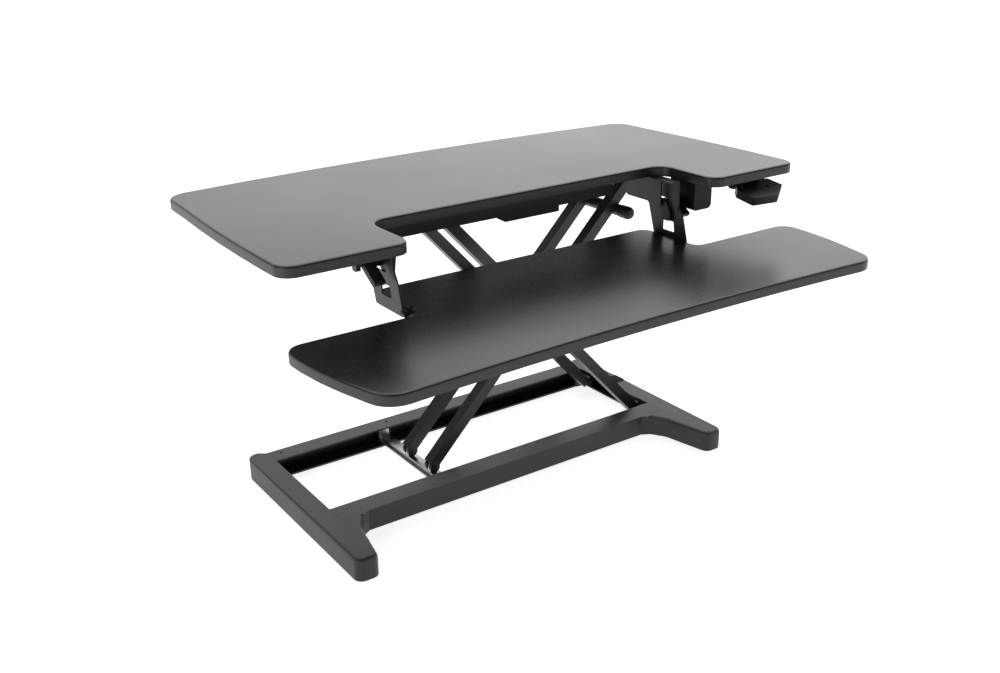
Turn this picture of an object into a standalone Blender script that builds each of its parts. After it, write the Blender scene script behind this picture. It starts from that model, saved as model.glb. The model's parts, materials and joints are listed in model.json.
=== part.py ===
"""Standing desk converter: scissor-lift riser with a desktop, a keyboard tray and a wide base.

Metres, +X to the user's right, +Y away from the user, +Z up. The origin is on the supporting
surface, under the middle of the whole object. The riser is drawn raised to its top stop.
"""
import math

import bmesh
import bpy
from mathutils import Matrix, Vector

# --- driving dimensions -------------------------------------------------------------------
GAP = 0.0003                # air between touching pieces

# desktop
DESK_HALF_WIDTH = 0.4450
DESK_TOP = 0.4946
BOARD_THICK = 0.0154
DESK_BACK = 0.3175          # rear edge on the centre line
DESK_BACK_BOW = 0.1205      # rear edge: y = DESK_BACK - DESK_BACK_BOW * x^2
DESK_SIDE_BOW = 0.155       # side edge: x = DESK_HALF_WIDTH - DESK_SIDE_BOW * (y - DESK_WIDEST_Y)^2
DESK_WIDEST_Y = -0.010
DESK_WING_FRONT = -0.1287
DESK_CUT_FRONT = -0.0112    # edge of the cut-out for the keyboard
DESK_CUT_HALF = 0.262
BOARD_CHAMFER = 0.0035

# keyboard tray
TRAY_TOP = 0.3889
TRAY_HALF_WIDTH = 0.4445
TRAY_SIDE_Y = -0.1306       # where the tray is widest
TRAY_SIDE_BOW = 1.046
TRAY_FRONT = -0.3051        # front edge on the centre line
TRAY_FRONT_BOW = 0.085
TRAY_BACK = -0.1106         # rear edge of the two wings
TONGUE_BACK = 0.0104        # rear edge of the middle part, between the brackets
TONGUE_HALF = 0.251

# base frame
SOLE = 0.0015               # metal stands this high on its rubber pads
BASE_TOP = 0.0365
BASE_HALF_WIDTH = 0.3535
BASE_OPEN_HALF = 0.3185
BASE_BACK = 0.3004
FOOT_FRONT = -0.0906
RAIL_FRONT_Y = (0.0262, 0.0636)
RAIL_REAR_Y = (0.2577, 0.2918)
RAIL_WALL = 0.003

# top frame rails, same stance as the base rails
TOP_RAIL_Z = (0.4500, 0.4789)
TOP_RAIL_X = (-0.3200, 0.3380)
TOP_RAIL_WALL = 0.0025
FRONT_RAIL_END = 0.1950     # the front rail only guides the slider, so it stops short

# scissor
LIFT_ANGLE = math.radians(46.45)    # pivot-to-pivot line above the horizontal when raised
PIVOT_X = 0.3099                    # fixed pivots, right-hand end
PIVOT_LOW = 0.0245
PIVOT_HIGH = 0.4645
TILT_A = math.radians(45.6)         # the inner tubes sit a little off their pivot line
TILT_B = math.radians(47.3)         # so do the outer tubes, the other way
TUBE_HIGH = 0.018
TUBE_WIDE = 0.0195
BOSS_RADIUS = 0.009
AXLE_RADIUS = 0.004
AXLE_HOLE = AXLE_RADIUS + GAP
ARM_A_FRONT_Y = 0.1009
ARM_A_REAR_Y = 0.1723
ARM_B_FRONT_Y = 0.0804
ARM_B_REAR_Y = 0.2199

ARM_SPAN = (PIVOT_HIGH - PIVOT_LOW) / math.tan(LIFT_ANGLE)
SLIDER_X = PIVOT_X - ARM_SPAN
CENTRE_X = (PIVOT_X + SLIDER_X) / 2
CENTRE_Z = (PIVOT_LOW + PIVOT_HIGH) / 2
ARM_HALF = math.hypot(PIVOT_X - CENTRE_X, PIVOT_HIGH - CENTRE_Z)

# rollers
LOW_ROLLER_RADIUS = 0.014
LOW_ROLLER_Z = 0.019
LOW_ROLLER_SHIFT = 0.00175   # lower roller axis, to the right of the slider's pivot
TOP_ROLLER_RADIUS = 0.0115
ROLLER_WIDE = 0.012

# bumper bar across the underside of the inner arm's upper end
BUMPER_AT = (0.2700, 0.3960)
BUMPER_RADIUS = 0.0108

# gas spring, between the rear inner tube and the rear outer tube
GAS_Y = 0.2059
GAS_RADIUS = 0.009
GAS_ROD_RADIUS = 0.004
GAS_BODY_LENGTH = 0.116
GAS_LOW_REACH = 0.180       # lower stud, along the outer arm from the centre pivot
GAS_HIGH_REACH = 0.050      # upper stud, along the inner arm
GAS_PLATE_Y = 0.1948        # rear face of the plate that the rod's eye stands against

# tray hangers
UNDER_DESK = DESK_TOP - BOARD_THICK - GAP
HANGER_X = 0.2545           # inner face of each hanger's plate
HANGER_SHEET = 0.0022
LATCH_PIVOT = (-0.0255, 0.4400)

# height release lever, under the right wing
LEVER_PIVOT = (-0.0920, 0.4665)
LEVER_SLOPE = math.radians(10.8)
LEVER_X = (0.3430, 0.3900)
LEVER_THICK = 0.0130

# pieces that rise and fall with the top
TOP_PIECES = ("desktop", "keyboard_tray", "top_rail_front", "top_rail_rear", "top_cross_bar_left",
              "top_cross_bar_right", "top_pivot_bracket_front", "top_pivot_bracket_rear",
              "top_pivot_axle", "cable_guide", "tray_hanger_left", "tray_hanger_right",
              "tray_side_plate_left", "tray_side_plate_right", "latch_pin_left",
              "latch_pin_right", "tray_lock_screw", "lock_box", "lever_housing", "lever_pin")

STEEL = (0.035, 0.036, 0.038)
BLACK = (0.012, 0.012, 0.013)
LAMINATE = (0.045, 0.045, 0.047)


# --- helpers ------------------------------------------------------------------------------
def clear_scene():
    for obj in list(bpy.data.objects):
        bpy.data.objects.remove(obj, do_unlink=True)


def material(name, colour, roughness, metallic):
    mat = bpy.data.materials.get(name) or bpy.data.materials.new(name)
    mat.use_nodes = True
    shader = mat.node_tree.nodes["Principled BSDF"]
    shader.inputs["Base Color"].default_value = (*colour, 1.0)
    shader.inputs["Roughness"].default_value = roughness
    shader.inputs["Metallic"].default_value = metallic
    mat.diffuse_color = (*colour, 1.0)
    return mat


def powder_coat():
    return material("powder_coat", STEEL, 0.45, 0.6)


def board_laminate():
    return material("board_laminate", LAMINATE, 0.4, 0.0)


def black_plastic():
    return material("black_plastic", BLACK, 0.4, 0.0)


def black_lacquer():
    return material("black_lacquer", BLACK, 0.2, 0.0)


def black_rubber():
    return material("black_rubber", BLACK, 0.8, 0.0)


def bare_steel():
    return material("bare_steel", (0.45, 0.45, 0.46), 0.3, 1.0)


def add_object(name, bm, mat, smooth=True):
    """Turn a bmesh into a named object with outward faces."""
    bmesh.ops.remove_doubles(bm, verts=bm.verts, dist=1e-6)
    bmesh.ops.recalc_face_normals(bm, faces=bm.faces)
    mesh = bpy.data.meshes.new(name)
    bm.to_mesh(mesh)
    bm.free()
    if smooth:
        mesh.shade_smooth()
        mesh.set_sharp_from_angle(angle=math.radians(30))
    obj = bpy.data.objects.new(name, mesh)
    bpy.context.scene.collection.objects.link(obj)
    if mat:
        mesh.materials.append(mat)
    return obj


def fillet(corners, steps=6):
    """Round the corners of an outline. Each corner is (u, v) or (u, v, radius)."""
    outline = []
    for index, corner in enumerate(corners):
        here = Vector(corner[:2])
        radius = corner[2] if len(corner) > 2 else 0.0
        if radius <= 0.0:
            outline.append(tuple(here))
            continue
        back = (Vector(corners[index - 1][:2]) - here).normalized()
        ahead = (Vector(corners[(index + 1) % len(corners)][:2]) - here).normalized()
        half = back.angle(ahead) / 2
        centre = here + (back + ahead).normalized() * (radius / math.sin(half))
        start = here + back * (radius / math.tan(half)) - centre
        turn = start.angle_signed(here + ahead * (radius / math.tan(half)) - centre)
        for step in range(steps + 1):
            angle = -turn * step / steps
            spun = Matrix.Rotation(angle, 2) @ start
            outline.append(tuple(centre + spun))
    return outline


def prism(outline, low, high, along="Z"):
    """Extrude an outline. It is (x, y) along Z, (y, z) along X and (x, z) along Y."""
    def place(u, v, w):
        return {"X": (w, u, v), "Y": (u, w, v), "Z": (u, v, w)}[along]

    bm = bmesh.new()
    bottom = [bm.verts.new(place(u, v, low)) for u, v in outline]
    top = [bm.verts.new(place(u, v, high)) for u, v in outline]
    count = len(outline)
    bm.faces.new(bottom)
    bm.faces.new(list(reversed(top)))
    for index in range(count):
        after = (index + 1) % count
        bm.faces.new((bottom[index], top[index], top[after], bottom[after]))
    bmesh.ops.recalc_face_normals(bm, faces=bm.faces)
    return bm


def rectangle(u_range, v_range, radius=0.0):
    (u0, u1), (v0, v1) = u_range, v_range
    return fillet([(u0, v0, radius), (u1, v0, radius), (u1, v1, radius), (u0, v1, radius)], 4)


def circle(u, v, radius, sides=24):
    turns = [math.tau * k / sides for k in range(sides)]
    return [(u + radius * math.cos(a), v + radius * math.sin(a)) for a in turns]


def block(x_range, y_range, z_range):
    return prism(rectangle(x_range, y_range), z_range[0], z_range[1])


def rod_y(x, z, radius, y_range, sides=24):
    return prism(circle(x, z, radius, sides), y_range[0], y_range[1], "Y")


def turned_y(profile, x, z, sides=24):
    """Spin a profile of (radius, y) pairs about an axis along Y; both ends are on the axis."""
    bm = bmesh.new()
    rings = []
    for radius, y in profile:
        if radius == 0.0:
            rings.append([bm.verts.new((x, y, z))])
        else:
            rings.append([bm.verts.new((u, y, v)) for u, v in circle(x, z, radius, sides)])
    for first, second in zip(rings, rings[1:]):
        for k in range(sides):
            after = (k + 1) % sides
            if len(first) == 1:
                bm.faces.new((first[0], second[k], second[after]))
            elif len(second) == 1:
                bm.faces.new((first[k], second[0], first[after]))
            else:
                bm.faces.new((first[k], second[k], second[after], first[after]))
    bmesh.ops.recalc_face_normals(bm, faces=bm.faces)
    return bm


def turned_z(profile, x, y, sides=24):
    """Spin a profile of (radius, z) pairs about an upright axis."""
    bm = turned_y(profile, 0.0, 0.0, sides)
    upright = Matrix(((0, 0, 1, x), (1, 0, 0, y), (0, 1, 0, 0), (0, 0, 0, 1)))
    bm.transform(upright)
    return bm


def boolean(obj, bm, operation):
    """Cut or add a closed shape with a Boolean modifier, through a hidden guide object."""
    tool = add_object(f"guide_{obj.name}_{len(obj.modifiers)}", bm, None, smooth=False)
    tool.hide_render = True
    tool.display_type = "WIRE"
    modifier = obj.modifiers.new(f"{operation.lower()}_{len(obj.modifiers)}", "BOOLEAN")
    modifier.operation = operation
    modifier.solver = "EXACT"
    modifier.object = tool


def cut(obj, bm):
    boolean(obj, bm, "DIFFERENCE")


def add(obj, bm):
    boolean(obj, bm, "UNION")


def soften(obj, width, segments=2, limit=50):
    """Round the sharp edges of an object."""
    modifier = obj.modifiers.new("rounding", "BEVEL")
    modifier.width = width
    modifier.segments = segments
    modifier.limit_method = "ANGLE"
    modifier.angle_limit = math.radians(limit)


def chamfer_rim(bm, height, width, segments=2):
    """Bevel only the edges that lie at one height."""
    edges = [e for e in bm.edges if all(abs(v.co.z - height) < 1e-6 for v in e.verts)]
    bmesh.ops.bevel(bm, geom=edges, offset=width, segments=segments, profile=0.5, affect="EDGES",
                    clamp_overlap=False)
    return bm


def mirrored(outline):
    """Complete a half outline that runs from the centre line on its +X side."""
    return outline + [(-x, y) for x, y in reversed(outline) if abs(x) > 1e-6]


def arm_point(direction, reach):
    """A point on an arm's pivot line, reach from the centre pivot."""
    x = CENTRE_X + math.cos(LIFT_ANGLE) * direction * reach
    return x, CENTRE_Z + math.sin(LIFT_ANGLE) * reach


# --- boards -------------------------------------------------------------------------------
def desk_back_edge(x):
    return DESK_BACK - DESK_BACK_BOW * x * x


def desk_side_edge(y):
    return DESK_HALF_WIDTH - DESK_SIDE_BOW * (y - DESK_WIDEST_Y) ** 2


def desktop():
    back = [(x, desk_back_edge(x)) for x in (0.0, 0.10, 0.20, 0.30)]
    side = [(desk_side_edge(y), y) for y in (0.210, 0.140, 0.065, -0.010, -0.070)]
    half = fillet(back + [(0.4347, desk_back_edge(0.4347), 0.034)] + side + [
        (desk_side_edge(DESK_WING_FRONT), DESK_WING_FRONT, 0.024),
        (DESK_CUT_HALF, DESK_WING_FRONT, 0.022),
        (DESK_CUT_HALF, DESK_CUT_FRONT, 0.026),
        (0.0, DESK_CUT_FRONT)])
    bm = prism(mirrored(half), DESK_TOP - BOARD_THICK, DESK_TOP)
    add_object("desktop", chamfer_rim(bm, DESK_TOP, BOARD_CHAMFER), board_laminate())


def tray_front_edge(x):
    return TRAY_FRONT - TRAY_FRONT_BOW * x * x


def tray_side_edge(y):
    return TRAY_HALF_WIDTH - TRAY_SIDE_BOW * (y - TRAY_SIDE_Y) ** 2


def keyboard_tray():
    side = [(tray_side_edge(y), y) for y in (-0.160, -0.205, -0.245)]
    front = [(x, tray_front_edge(x)) for x in (0.33, 0.22, 0.11, 0.0)]
    half = fillet([(0.0, TONGUE_BACK),
                   (TONGUE_HALF, TONGUE_BACK, 0.022),
                   (TONGUE_HALF, TRAY_BACK, 0.013),
                   (TRAY_HALF_WIDTH + 0.0005, TRAY_BACK, 0.026)] + side
                  + [(0.4120, tray_front_edge(0.4120), 0.036)] + front)
    bm = prism(mirrored(half), TRAY_TOP - BOARD_THICK, TRAY_TOP)
    add_object("keyboard_tray", chamfer_rim(bm, TRAY_TOP, BOARD_CHAMFER), board_laminate())


# --- base frame ---------------------------------------------------------------------------
def base_side(name, hand):
    """One side of the base with its rear corner and its tapered front foot."""
    half = [(BASE_OPEN_HALF, RAIL_FRONT_Y[0] - GAP),
            (0.272, RAIL_FRONT_Y[0] - GAP),
            (0.286, 0.0180, 0.014),
            (0.3010, -0.0060, 0.030),
            (0.3180, FOOT_FRONT, 0.013),
            (BASE_HALF_WIDTH, FOOT_FRONT, 0.013),
            (BASE_HALF_WIDTH, BASE_BACK, 0.018),
            (0.332, BASE_BACK, 0.008),
            (0.322, RAIL_REAR_Y[1], 0.006),
            (BASE_OPEN_HALF, RAIL_REAR_Y[1])]
    outline = [(hand * x, y) for x, y in fillet(half, 4)]
    bm = prism(outline, SOLE, BASE_TOP)
    foot_back = RAIL_FRONT_Y[0] - 2 * GAP
    rim = [e for e in bm.edges
           if all(abs(v.co.z - BASE_TOP) < 1e-6 for v in e.verts)
           and (all(v.co.y < foot_back for v in e.verts)
                or all(abs(v.co.x) > BASE_HALF_WIDTH - 1e-4 for v in e.verts))]
    bmesh.ops.bevel(bm, geom=rim, offset=0.0055, segments=2, profile=0.5, affect="EDGES",
                    clamp_overlap=False)
    obj = add_object(name, bm, powder_coat())
    start, lip, wall = BASE_OPEN_HALF - 0.01, BASE_OPEN_HALF + 0.0075, BASE_HALF_WIDTH - 0.006
    floor, ceiling = SOLE + RAIL_WALL, BASE_TOP - RAIL_WALL
    recess = [(start, SOLE - 0.001), (lip, SOLE - 0.001), (lip, floor),
              (wall, floor), (wall, ceiling), (start, ceiling)]
    recess = [(hand * x, z) for x, z in recess]
    cut(obj, prism(recess, RAIL_FRONT_Y[1], RAIL_REAR_Y[0], "Y"))


def channel(name, y_range, z_range, x_range, opens, wall):
    """A C-shaped rail along X, open towards +Y (opens = 1) or -Y (opens = -1)."""
    (y0, y1), (z0, z1) = y_range, z_range
    web, lip = (y0, y1) if opens > 0 else (y1, y0)
    inner = web + opens * wall
    profile = [(web, z0), (lip, z0), (lip, z0 + wall), (inner, z0 + wall),
               (inner, z1 - wall), (lip, z1 - wall), (lip, z1), (web, z1)]
    return add_object(name, prism(profile, x_range[0], x_range[1], "X"), powder_coat(), False)


def base_rails():
    length = (-BASE_OPEN_HALF + GAP, BASE_OPEN_HALF - GAP)
    channel("base_rail_front", RAIL_FRONT_Y, (SOLE, BASE_TOP), length, 1, RAIL_WALL)
    rear = channel("base_rail_rear", RAIL_REAR_Y, (SOLE, BASE_TOP), length, -1, RAIL_WALL)
    wall = (BASE_TOP - RAIL_WALL - 0.001, BASE_TOP + 0.001)
    for x in (-0.300, -0.100, 0.100, 0.300):
        cut(rear, prism(circle(x, 0.2790, 0.0025, 12), *wall))


def rubber_feet():
    places = (("front_left", -1, -0.060), ("front_right", 1, -0.060),
              ("rear_left", -1, 0.270), ("rear_right", 1, 0.270))
    for name, hand, y in places:
        profile = [(0.0, 0.0), (0.0105, 0.0), (0.012, SOLE - GAP), (0.0, SOLE - GAP)]
        pad = turned_z(profile, hand * 0.336, y)
        add_object(f"rubber_foot_{name}", pad, black_rubber())


def rest_pad():
    """A pad on the base's right side, where the lowered top comes to rest."""
    outline = rectangle((0.3335, 0.3515), (0.1670, 0.1930), 0.002)
    add_object("rest_pad", prism(outline, BASE_TOP + GAP, BASE_TOP + 0.0012), black_rubber())


def base_pivots():
    x_range = (PIVOT_X - 0.009, BASE_HALF_WIDTH - 0.006 - GAP)
    z_range = (SOLE + RAIL_WALL + GAP, BASE_TOP - RAIL_WALL - GAP)
    outline = rectangle(x_range, z_range, 0.004)
    for name, y in (("base_pivot_bracket_front", 0.0665), ("base_pivot_bracket_rear", 0.2500)):
        bracket = add_object(name, prism(outline, y, y + 0.004, "Y"), powder_coat())
        cut(bracket, rod_y(PIVOT_X, PIVOT_LOW, AXLE_HOLE, (y - 0.001, y + 0.005)))
    pins = (("front", RAIL_FRONT_Y[1] + 2 * GAP, ARM_B_FRONT_Y + TUBE_WIDE + 0.003),
            ("rear", ARM_B_REAR_Y - 0.003, RAIL_REAR_Y[0] - 2 * GAP))
    for name, start, end in pins:
        pin = rod_y(PIVOT_X, PIVOT_LOW, AXLE_RADIUS, (start, end))
        add_object(f"base_pivot_pin_{name}", pin, powder_coat())


# --- scissor arms -------------------------------------------------------------------------
def arm_tube(name, direction, tilt, y, slots=()):
    """One rectangular tube of the scissor, with round bosses on its three pivots."""
    outline = []
    run, rise = math.cos(tilt) * direction, math.sin(tilt)
    for reach, side in ((-1, -1), (1, -1), (1, 1), (-1, 1)):
        along = reach * (ARM_HALF - 0.001)
        across = side * TUBE_HIGH / 2
        outline.append((CENTRE_X + run * along - rise * across * direction,
                        CENTRE_Z + rise * along + math.cos(tilt) * across))
    y_range = (y, y + TUBE_WIDE)
    obj = add_object(name, prism(outline, *y_range, "Y"), powder_coat())
    ends = [arm_point(direction, reach * ARM_HALF) for reach in (-1, 1)]
    for x, z in ends:
        add(obj, rod_y(x, z, BOSS_RADIUS, y_range))
    through = (y - 0.001, y + TUBE_WIDE + 0.001)
    for x, z in ends + [(CENTRE_X, CENTRE_Z)]:
        cut(obj, rod_y(x, z, AXLE_HOLE, through))
    for x, z, width in slots:
        middle = y + TUBE_WIDE / 2
        cut(obj, block((x - 0.014, x + 0.012), (middle - width / 2, middle + width / 2),
                       (z - 0.012, z + 0.010)))
    return obj


def cross_tube(name, direction, reach, radius, y_range):
    x, z = arm_point(direction, reach)
    return add_object(name, rod_y(x, z, radius, y_range), powder_coat())


def inner_arm():
    fork = (SLIDER_X, PIVOT_LOW, 0.0086)
    arm_tube("arm_inner_front", 1, TILT_A, ARM_A_FRONT_Y, [fork])
    arm_tube("arm_inner_rear", 1, TILT_A, ARM_A_REAR_Y, [fork])
    between = (ARM_A_FRONT_Y + TUBE_WIDE + GAP, ARM_A_REAR_Y - GAP)
    cross_tube("arm_inner_cross_tube", 1, -0.105, 0.008, between)
    spacer = cross_tube("centre_spacer", 1, 0.0, 0.0085, between)
    cut(spacer, rod_y(CENTRE_X, CENTRE_Z, AXLE_HOLE, (between[0] - 0.001, between[1] + 0.001)))


def bumper_bar():
    """A round bar under the upper end of the inner arm, with a rounded cap in front."""
    x, z = BUMPER_AT
    radius = BUMPER_RADIUS
    rear_end = ARM_A_REAR_Y + TUBE_WIDE
    bar = add_object("bumper_bar", rod_y(x, z, radius - 0.0008, (0.0900, rear_end)), powder_coat())
    run, rise = math.cos(TILT_A), math.sin(TILT_A)
    under = Vector((CENTRE_X + run * 0.230 + rise * TUBE_HIGH / 2,
                    CENTRE_Z + rise * 0.230 - run * TUBE_HIGH / 2))
    saddle = []
    for along, across in ((-0.03, -GAP), (0.03, -GAP), (0.03, 0.03), (-0.03, 0.03)):
        offset = Vector((run * along - rise * across, rise * along + run * across))
        saddle.append(tuple(under + offset))
    for y in (ARM_A_FRONT_Y, ARM_A_REAR_Y):
        cut(bar, prism(saddle, y - GAP, y + TUBE_WIDE + GAP, "Y"))
    profile = [(0.0, 0.0660), (0.0065, 0.0668), (0.0095, 0.0695), (radius, 0.0735),
               (radius, 0.0897), (0.0, 0.0897)]
    add_object("bumper_cap", turned_y(profile, x, z), black_plastic())


def outer_arm():
    arm_tube("arm_outer_front", -1, TILT_B, ARM_B_FRONT_Y)
    arm_tube("arm_outer_rear", -1, TILT_B, ARM_B_REAR_Y)
    between = (ARM_B_FRONT_Y + TUBE_WIDE + GAP, ARM_B_REAR_Y - GAP)
    cross_tube("arm_outer_cross_tube", -1, 0.075, 0.006, between)
    head = 0.0035
    rear_end = ARM_B_REAR_Y + TUBE_WIDE
    profile = [(0.0, ARM_B_FRONT_Y - GAP - head), (0.007, ARM_B_FRONT_Y - GAP - head),
               (0.007, ARM_B_FRONT_Y - GAP), (AXLE_RADIUS, ARM_B_FRONT_Y - GAP),
               (AXLE_RADIUS, rear_end + GAP), (0.007, rear_end + GAP),
               (0.007, rear_end + GAP + head), (0.0, rear_end + GAP + head)]
    add_object("centre_axle", turned_y(profile, CENTRE_X, CENTRE_Z), bare_steel())


# --- sliders ------------------------------------------------------------------------------
def roller(name, x, y, z, radius, bore):
    wheel = add_object(name, rod_y(x, z, radius, (y, y + ROLLER_WIDE)), black_plastic())
    cut(wheel, rod_y(x, z, bore, (y - 0.001, y + ROLLER_WIDE + 0.001)))


def lower_slider():
    """A folded bar that carries the inner arm's lower ends along the base rails."""
    z0, z1 = 0.0055, 0.0145
    x0, x1 = SLIDER_X - 0.0065, SLIDER_X + 0.0100
    sheet = 0.0022
    profile = [(x0 - 0.0045, z0), (x0 + sheet, z0), (x0 + sheet, z1 - sheet), (x1, z1 - sheet),
               (x1, z1), (x0, z1), (x0, z0 + sheet), (x0 - 0.0045, z0 + sheet)]
    rail_y = (0.0470, 0.2740)
    bar = add_object("lower_slider_bar", prism(profile, *rail_y, "Y"), bare_steel())
    for y in (ARM_A_FRONT_Y, ARM_A_REAR_Y):
        middle = y + TUBE_WIDE / 2
        tongue = fillet([(SLIDER_X - 0.0062, z1 - 0.001), (SLIDER_X + 0.0062, z1 - 0.001),
                         (SLIDER_X + 0.0062, PIVOT_LOW + 0.0062, 0.006),
                         (SLIDER_X - 0.0062, PIVOT_LOW + 0.0062, 0.006)])
        add(bar, prism(tongue, middle - 0.004, middle + 0.004, "Y"))
        cut(bar, rod_y(SLIDER_X, PIVOT_LOW, AXLE_HOLE, (middle - 0.01, middle + 0.01)))
    end_plate = rectangle((x0 - 0.004, x1 - 0.001), (z0 + 0.001, LOW_ROLLER_Z + 0.008), 0.003)
    for y in rail_y:
        inner = y - 0.0025 if y > 0.1 else y
        add(bar, prism(end_plate, inner, inner + 0.0025, "Y"))
    stub_x = SLIDER_X + LOW_ROLLER_SHIFT
    for y, outward in ((rail_y[0], -1), (rail_y[1], 1)):
        span = sorted((y - outward * 0.001, y + outward * (ROLLER_WIDE + 0.0008)))
        add(bar, rod_y(stub_x, LOW_ROLLER_Z, 0.004, span))
    front_y = rail_y[0] - 2 * GAP - ROLLER_WIDE
    roller("lower_roller_front", stub_x, front_y, LOW_ROLLER_Z, LOW_ROLLER_RADIUS, 0.0043)
    roller("lower_roller_rear", stub_x, rail_y[1] + 2 * GAP, LOW_ROLLER_Z, LOW_ROLLER_RADIUS, 0.0043)
    for name, y in (("front", ARM_A_FRONT_Y), ("rear", ARM_A_REAR_Y)):
        pin = rod_y(SLIDER_X, PIVOT_LOW, AXLE_RADIUS, (y - 0.0002, y + TUBE_WIDE + 0.0002))
        add_object(f"lower_slider_pin_{name}", pin, powder_coat())


def upper_slider():
    axle_y = (RAIL_FRONT_Y[0] + 0.0040, RAIL_REAR_Y[1] - 0.0040)
    add_object("upper_slider_axle", rod_y(SLIDER_X, PIVOT_HIGH, AXLE_RADIUS, axle_y), bare_steel())
    front_y = axle_y[0] + 0.0010
    rear_y = axle_y[1] - 0.0010 - ROLLER_WIDE
    bore = AXLE_RADIUS + GAP
    roller("upper_roller_front", SLIDER_X, front_y, PIVOT_HIGH, TOP_ROLLER_RADIUS, bore)
    roller("upper_roller_rear", SLIDER_X, rear_y, PIVOT_HIGH, TOP_ROLLER_RADIUS, bore)
    between = (ARM_B_FRONT_Y + TUBE_WIDE + GAP, ARM_B_REAR_Y - GAP)
    sleeve = add_object("upper_slider_sleeve", rod_y(SLIDER_X, PIVOT_HIGH, 0.0065, between), powder_coat())
    cut(sleeve, rod_y(SLIDER_X, PIVOT_HIGH, bore, (between[0] - 0.001, between[1] + 0.001)))


# --- top frame ----------------------------------------------------------------------------
def top_frame():
    front_x = (TOP_RAIL_X[0], FRONT_RAIL_END)
    channel("top_rail_front", RAIL_FRONT_Y, TOP_RAIL_Z, front_x, 1, TOP_RAIL_WALL)
    channel("top_rail_rear", RAIL_REAR_Y, TOP_RAIL_Z, TOP_RAIL_X, -1, TOP_RAIL_WALL)
    rear_y = RAIL_REAR_Y[0] - GAP
    bars = (("left", TOP_RAIL_X[0], RAIL_FRONT_Y[1] + GAP),
            ("right", TOP_RAIL_X[1] - 0.010, 0.0860))
    for side, x, front_y in bars:
        bar = block((x, x + 0.010), (front_y, rear_y), TOP_RAIL_Z)
        soften(add_object(f"top_cross_bar_{side}", bar, powder_coat()), 0.001, 1)
    end_x = TOP_RAIL_X[1] - 0.010 - GAP
    outline = fillet([(PIVOT_X - 0.010, PIVOT_HIGH - 0.010, 0.006),
                      (end_x, PIVOT_HIGH - 0.010, 0.003),
                      (end_x, TOP_RAIL_Z[1]),
                      (PIVOT_X - 0.010, TOP_RAIL_Z[1])])
    front_plate = ARM_A_FRONT_Y - 0.0045
    rear_plate = ARM_A_REAR_Y + TUBE_WIDE + 0.0005
    for name, y in (("front", front_plate), ("rear", rear_plate)):
        bracket = prism(outline, y, y + 0.004, "Y")
        bracket = add_object(f"top_pivot_bracket_{name}", bracket, powder_coat())
        cut(bracket, rod_y(PIVOT_X, PIVOT_HIGH, AXLE_HOLE, (y - 0.001, y + 0.005)))
    axle_y = (front_plate - 0.002, rear_plate + 0.006)
    add_object("top_pivot_axle", rod_y(PIVOT_X, PIVOT_HIGH, AXLE_RADIUS, axle_y), bare_steel())


def cable_guide():
    """A folded strip under the front rail; cables lie in its fold."""
    z = TOP_RAIL_Z[0] - GAP
    profile = [(0.0290, z), (0.0600, z), (0.0600, z - 0.0018), (0.0308, z - 0.0018),
               (0.0308, z - 0.0080), (0.0380, z - 0.0080),
               (0.0380, z - 0.0098), (0.0290, z - 0.0098)]
    strip = prism(profile, -0.0270, 0.0900, "X")
    strip = add_object("cable_guide", strip, powder_coat(), False)
    corner = [(-0.0280, z - 0.0005), (-0.0090, z - 0.0110), (-0.0280, z - 0.0110)]
    cut(strip, prism(corner, 0.0280, 0.0610, "Y"))


# --- tray hangers -------------------------------------------------------------------------
def spans(hand, near, far):
    """The X range of a piece that is drawn for the right-hand side."""
    return sorted((hand * near, hand * far))


def side_prism(hand, outline, near, far):
    return prism(outline, *spans(hand, near, far), "X")


def tray_hanger(side, hand):
    """A pressed plate from the desktop down past the tray's edge, folded at its front and top."""
    tail = 0.0620 if hand > 0 else RAIL_FRONT_Y[0] - GAP
    outline = fillet([(-0.0100, 0.3770, 0.003), (-0.0850, 0.3770, 0.003),
                      (-0.0730, 0.4210, 0.006), (-0.0620, 0.4400, 0.010),
                      (-0.0600, UNDER_DESK), (tail, UNDER_DESK),
                      (tail, 0.4335, 0.004), (0.0075, 0.4335, 0.006)])
    plate = side_prism(hand, outline, HANGER_X, HANGER_X + HANGER_SHEET)
    obj = add_object(f"tray_hanger_{side}", plate, powder_coat())
    wide = (HANGER_X - 0.005, HANGER_X + 0.008)
    lower = fillet([(-0.0270, 0.3950, 0.0015), (-0.0545, 0.3950, 0.0015),
                    (-0.0520, 0.4120, 0.0015), (-0.0275, 0.4120, 0.0015)], 3)
    upper = fillet([(-0.0130, 0.4290, 0.002), (-0.0430, 0.4290, 0.002),
                    (-0.0400, 0.4480, 0.002), (-0.0110, 0.4480, 0.002)], 3)
    cut(obj, side_prism(hand, lower, *wide))
    cut(obj, side_prism(hand, upper, *wide))
    inner = HANGER_X - 0.0070
    flange = [(hand * (HANGER_X + 0.001), 0.4250), (hand * HANGER_X, 0.4250),
              (hand * inner, UNDER_DESK), (hand * (HANGER_X + 0.001), UNDER_DESK)]
    add(obj, prism(flange, -0.0622, -0.0600, "Y"))
    foot = block(spans(hand, inner - 0.010, HANGER_X + 0.001), (-0.0622, 0.0230),
                 (UNDER_DESK - HANGER_SHEET, UNDER_DESK))
    add(obj, foot)


def tray_side_plate(side, hand):
    """A steel strip on the edge of the tray, where the hanger's hook catches it."""
    strip = rectangle((-0.0800, -0.0140), (0.3765, 0.3885), 0.002)
    plate = side_prism(hand, strip, TONGUE_HALF + GAP, HANGER_X - GAP)
    add_object(f"tray_side_plate_{side}", plate, powder_coat())


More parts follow.
